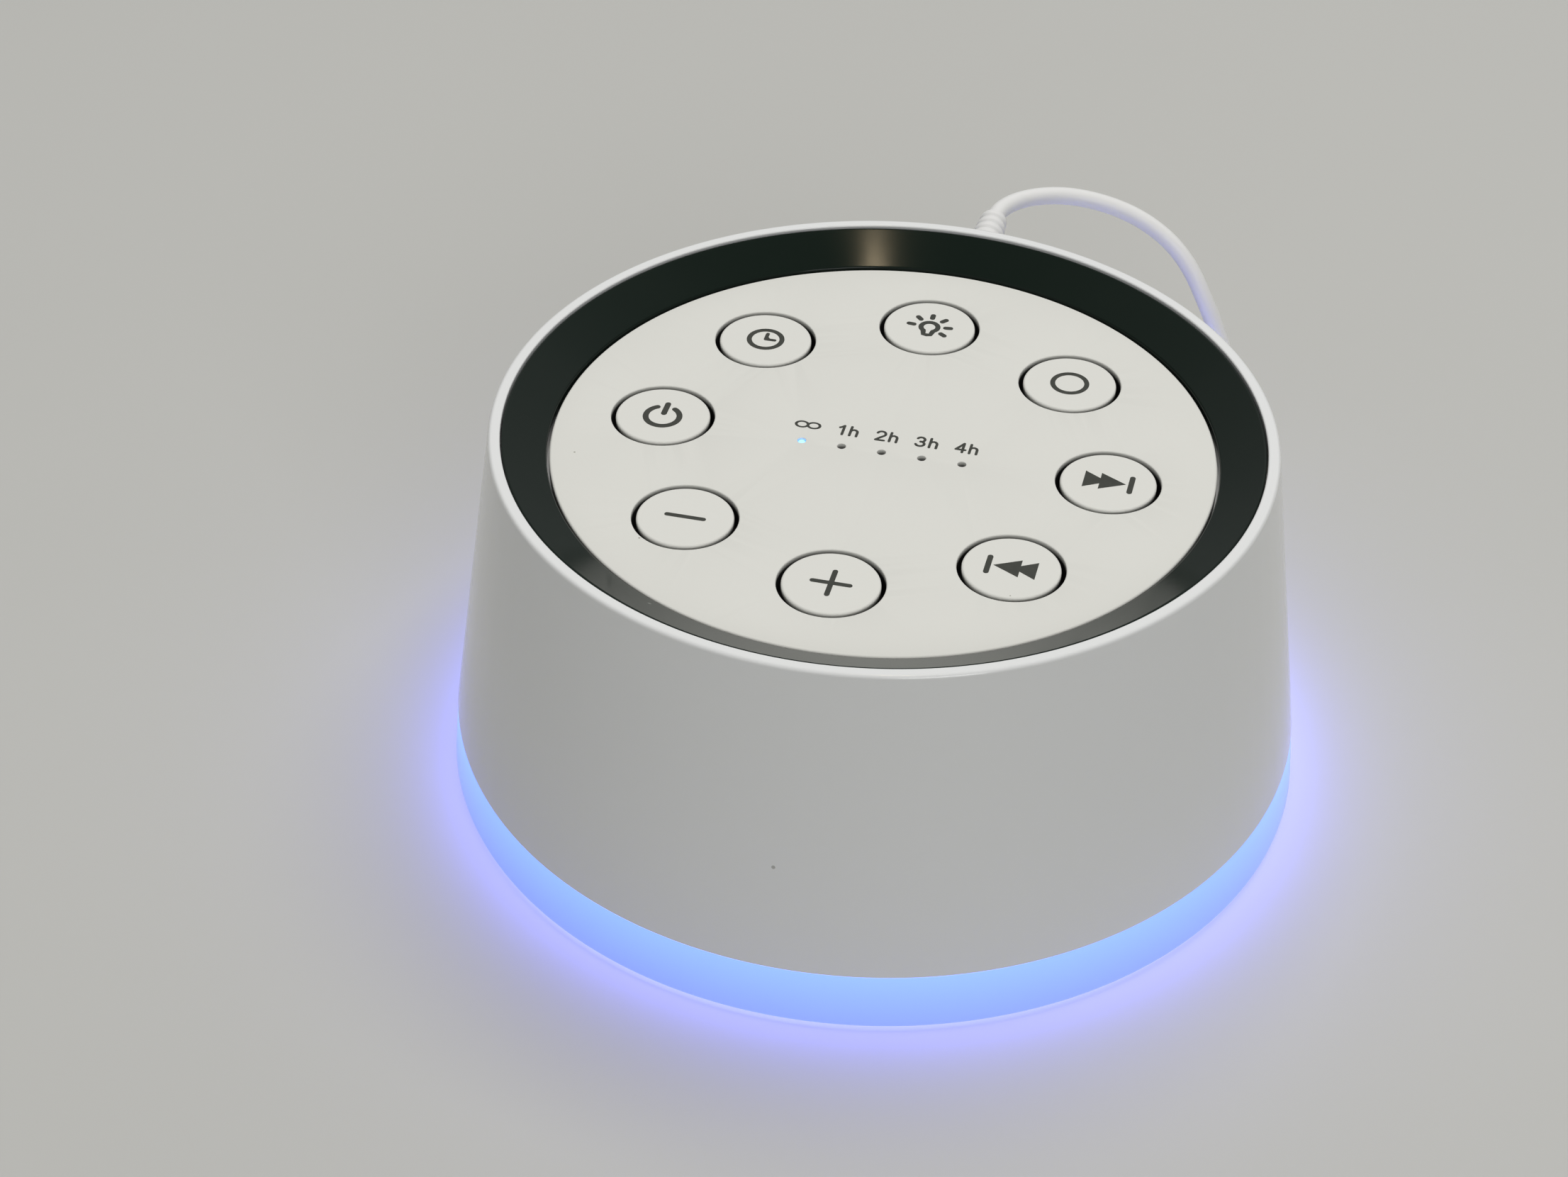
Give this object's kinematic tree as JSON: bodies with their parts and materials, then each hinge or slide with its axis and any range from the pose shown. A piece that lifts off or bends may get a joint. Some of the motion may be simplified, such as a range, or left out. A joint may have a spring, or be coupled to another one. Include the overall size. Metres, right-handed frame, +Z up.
{
  "type": "white noise sound machine",
  "caption": "Round tapered white sound machine with a dark bezel ring, a recessed panel of press buttons, a glowing base ring and a rear power lead.",
  "frame": {"origin": "centre of the round housing on the table, under its rubber feet, without the lead", "axes": "+Z up, -Y to the front where the marks read upright, +Y to the rear power socket, +X to the right"},
  "size_m": [0.1212, 0.1761, 0.055],
  "materials": {
    "shell_white": "gloss",
    "bezel_charcoal": "gloss",
    "panel_white": "satin",
    "button_white": "satin",
    "light_diffuser": "translucent satin",
    "base_white": "matte",
    "foot_rubber": "matte",
    "plunger_plastic": "satin",
    "black_plastic": "satin",
    "clear_plastic": "clear",
    "circuit_board": "solder mask",
    "circuit_board_white": "solder mask",
    "lamp_white": "gloss",
    "lamp_blue": "gloss",
    "can_aluminium": "satin",
    "connector_white": "matte",
    "steel": "satin",
    "nickel": "polished",
    "ferrite": "matte",
    "copper_wire": "enamelled",
    "cone_paper": "matte paper",
    "surround_rubber": "matte",
    "spider_cloth": "woven",
    "gasket_foam": "foam",
    "cord_white": "satin",
    "lead_red": "satin",
    "lead_black": "satin",
    "lead_white": "satin"
  },
  "bodies": {
    "housing": {"outer_shell": "shell_white", "bezel_ring": "bezel_charcoal", "control_panel": "panel_white", "main_circuit_board": "circuit_board", "board_screws": "steel", "switch_housings": "black_plastic", "timer_leds": "lamp_white", "timer_light_pipe": "clear_plastic", "board_chips": "black_plastic", "board_capacitors": "can_aluminium", "board_connectors": "connector_white", "speaker_frame": "steel", "speaker_screws": "steel", "speaker_top_plate": "steel", "speaker_magnet": "ferrite", "speaker_yoke": "steel", "speaker_voice_coil": "copper_wire", "speaker_cone": "cone_paper", "speaker_surround": "surround_rubber", "speaker_spider": "spider_cloth", "speaker_dust_cap": "cone_paper", "speaker_gasket": "gasket_foam", "speaker_terminal_strip": "circuit_board", "base_plate": "base_white", "rubber_feet": "foot_rubber", "base_screws": "steel", "light_ring": "light_diffuser", "light_circuit_board": "circuit_board_white", "light_board_screws": "steel", "light_leds": "lamp_blue", "dc_socket": "black_plastic", "dc_socket_pin": "nickel", "power_plug_barrel": "nickel", "power_plug_body": "cord_white", "cord_strain_relief": "cord_white", "speaker_leads": "lead_red", "power_leads": "lead_black", "light_leads": "lead_white", "power_cord_run": "cord_white", "power_cord_coil": "cord_white", "power_cord_tail": "cord_white", "usb_connector_grip": "cord_white", "usb_connector_shell": "nickel"},
    "key_next": {"button_next": "button_white", "plunger_next": "plunger_plastic"},
    "key_select": {"button_select": "button_white", "plunger_select": "plunger_plastic"},
    "key_light": {"button_light": "button_white", "plunger_light": "plunger_plastic"},
    "key_timer": {"button_timer": "button_white", "plunger_timer": "plunger_plastic"},
    "key_power": {"button_power": "button_white", "plunger_power": "plunger_plastic"},
    "key_previous": {"button_previous": "button_white", "plunger_previous": "plunger_plastic"},
    "key_volume_down": {"button_volume_down": "button_white", "plunger_volume_down": "plunger_plastic"},
    "key_volume_up": {"button_volume_up": "button_white", "plunger_volume_up": "plunger_plastic"}
  },
  "joints": [
    {"name": "press_next", "type": "slide", "parent": "housing", "child": "key_next", "axis": [0, 0, -1], "range_m": [0, 0.0005], "stiffness_N_per_m": 1500, "springref_m": -0.0003},
    {"name": "press_select", "type": "slide", "parent": "housing", "child": "key_select", "axis": [0, 0, -1], "range_m": [0, 0.0005], "stiffness_N_per_m": 1500, "springref_m": -0.0003},
    {"name": "press_light", "type": "slide", "parent": "housing", "child": "key_light", "axis": [0, 0, -1], "range_m": [0, 0.0005], "stiffness_N_per_m": 1500, "springref_m": -0.0003},
    {"name": "press_timer", "type": "slide", "parent": "housing", "child": "key_timer", "axis": [0, 0, -1], "range_m": [0, 0.0005], "stiffness_N_per_m": 1500, "springref_m": -0.0003},
    {"name": "press_power", "type": "slide", "parent": "housing", "child": "key_power", "axis": [0, 0, -1], "range_m": [0, 0.0005], "stiffness_N_per_m": 1500, "springref_m": -0.0003},
    {"name": "press_previous", "type": "slide", "parent": "housing", "child": "key_previous", "axis": [0, 0, -1], "range_m": [0, 0.0005], "stiffness_N_per_m": 1500, "springref_m": -0.0003},
    {"name": "press_volume_down", "type": "slide", "parent": "housing", "child": "key_volume_down", "axis": [0, 0, -1], "range_m": [0, 0.0005], "stiffness_N_per_m": 1500, "springref_m": -0.0003},
    {"name": "press_volume_up", "type": "slide", "parent": "housing", "child": "key_volume_up", "axis": [0, 0, -1], "range_m": [0, 0.0005], "stiffness_N_per_m": 1500, "springref_m": -0.0003}
  ]
}
